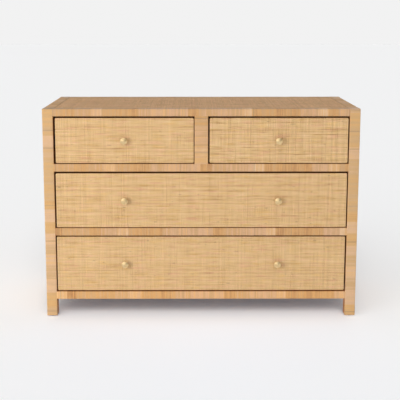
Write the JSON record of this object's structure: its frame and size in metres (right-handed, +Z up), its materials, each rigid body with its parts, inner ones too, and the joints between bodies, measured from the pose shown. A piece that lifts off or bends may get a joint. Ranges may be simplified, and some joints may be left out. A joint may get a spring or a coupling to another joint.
{
  "type": "dresser with drawers",
  "caption": "Low rattan-covered dresser: woven drawer fronts and top in a wrapped post-and-rail case on short legs, round brass knobs, drawers on telescopic slides.",
  "frame": {"origin": "on the floor under the middle of the outer box, knobs included", "axes": "+X to the right along the width, -Y out of the drawer fronts, +Z up"},
  "size_m": [1.219, 0.506, 0.825],
  "materials": {
    "rattan_wrap": "hardwood posts and rails wrapped in narrow rattan peel, satin",
    "rattan_weave": "plywood boards covered in finely woven rattan, matte",
    "drawer_wood": "sanded light hardwood",
    "panel_plywood": "sanded plywood",
    "dowel_beech": "turned beech",
    "knob_brass": "polished",
    "slide_steel": "black electro-coated steel",
    "screw_steel": "zinc plated",
    "glide_nylon": "moulded nylon"
  },
  "bodies": {
    "case": {"back_panel": "panel_plywood", "bottom_rail_front": "rattan_wrap", "bottom_rail_left": "rattan_wrap", "bottom_rail_rear": "rattan_wrap", "bottom_rail_right": "rattan_wrap", "cabinet_slide_members": "slide_steel", "centre_partition": "panel_plywood", "centre_stile": "rattan_wrap", "foot_glides": "glide_nylon", "frame_dowels": "dowel_beech", "lower_rail_front": "rattan_wrap", "post_front_left": "rattan_wrap", "post_front_right": "rattan_wrap", "post_rear_left": "rattan_wrap", "post_rear_right": "rattan_wrap", "side_panel_left": "rattan_weave", "side_panel_right": "rattan_weave", "slide_battens": "drawer_wood", "top_panel": "rattan_weave", "top_rail_front": "rattan_wrap", "top_rail_left": "rattan_wrap", "top_rail_rear": "rattan_wrap", "top_rail_right": "rattan_wrap", "upper_rail_front": "rattan_wrap"},
    "upper_left_drawer": {"upper_left_drawer_back": "drawer_wood", "upper_left_drawer_bottom": "panel_plywood", "upper_left_drawer_front": "rattan_weave", "upper_left_drawer_side_left": "drawer_wood", "upper_left_drawer_side_right": "drawer_wood", "upper_left_drawer_slide_members": "slide_steel", "upper_left_knob": "knob_brass", "upper_left_knob_screw": "screw_steel"},
    "upper_right_drawer": {"upper_right_drawer_back": "drawer_wood", "upper_right_drawer_bottom": "panel_plywood", "upper_right_drawer_front": "rattan_weave", "upper_right_drawer_side_left": "drawer_wood", "upper_right_drawer_side_right": "drawer_wood", "upper_right_drawer_slide_members": "slide_steel", "upper_right_knob": "knob_brass", "upper_right_knob_screw": "screw_steel"},
    "middle_drawer": {"middle_drawer_back": "drawer_wood", "middle_drawer_bottom": "panel_plywood", "middle_drawer_front": "rattan_weave", "middle_drawer_side_left": "drawer_wood", "middle_drawer_side_right": "drawer_wood", "middle_drawer_slide_members": "slide_steel", "middle_knob_screws": "screw_steel", "middle_knobs": "knob_brass"},
    "lower_drawer": {"lower_drawer_back": "drawer_wood", "lower_drawer_bottom": "panel_plywood", "lower_drawer_front": "rattan_weave", "lower_drawer_side_left": "drawer_wood", "lower_drawer_side_right": "drawer_wood", "lower_drawer_slide_members": "slide_steel", "lower_knob_screws": "screw_steel", "lower_knobs": "knob_brass"},
    "upper_left_middle_members": {"upper_left_middle_slide_members": "slide_steel"},
    "upper_right_middle_members": {"upper_right_middle_slide_members": "slide_steel"},
    "middle_middle_members": {"middle_middle_slide_members": "slide_steel"},
    "lower_middle_members": {"lower_middle_slide_members": "slide_steel"}
  },
  "joints": [
    {"name": "upper_left_drawer_slide", "type": "slide", "parent": "case", "child": "upper_left_drawer", "axis": [0, -1, 0], "range_m": [0, 0.38]},
    {"name": "upper_left_middle_members_slide", "type": "slide", "parent": "case", "child": "upper_left_middle_members", "axis": [0, -1, 0], "range_m": [0, 0.19]},
    {"name": "upper_right_drawer_slide", "type": "slide", "parent": "case", "child": "upper_right_drawer", "axis": [0, -1, 0], "range_m": [0, 0.38]},
    {"name": "upper_right_middle_members_slide", "type": "slide", "parent": "case", "child": "upper_right_middle_members", "axis": [0, -1, 0], "range_m": [0, 0.19]},
    {"name": "middle_drawer_slide", "type": "slide", "parent": "case", "child": "middle_drawer", "axis": [0, -1, 0], "range_m": [0, 0.38]},
    {"name": "middle_middle_members_slide", "type": "slide", "parent": "case", "child": "middle_middle_members", "axis": [0, -1, 0], "range_m": [0, 0.19]},
    {"name": "lower_drawer_slide", "type": "slide", "parent": "case", "child": "lower_drawer", "axis": [0, -1, 0], "range_m": [0, 0.38]},
    {"name": "lower_middle_members_slide", "type": "slide", "parent": "case", "child": "lower_middle_members", "axis": [0, -1, 0], "range_m": [0, 0.19]}
  ],
  "couplings": [
    {"joint": "upper_left_middle_members_slide", "follows": "upper_left_drawer_slide", "ratio": 0.5},
    {"joint": "upper_right_middle_members_slide", "follows": "upper_right_drawer_slide", "ratio": 0.5},
    {"joint": "middle_middle_members_slide", "follows": "middle_drawer_slide", "ratio": 0.5},
    {"joint": "lower_middle_members_slide", "follows": "lower_drawer_slide", "ratio": 0.5}
  ]
}
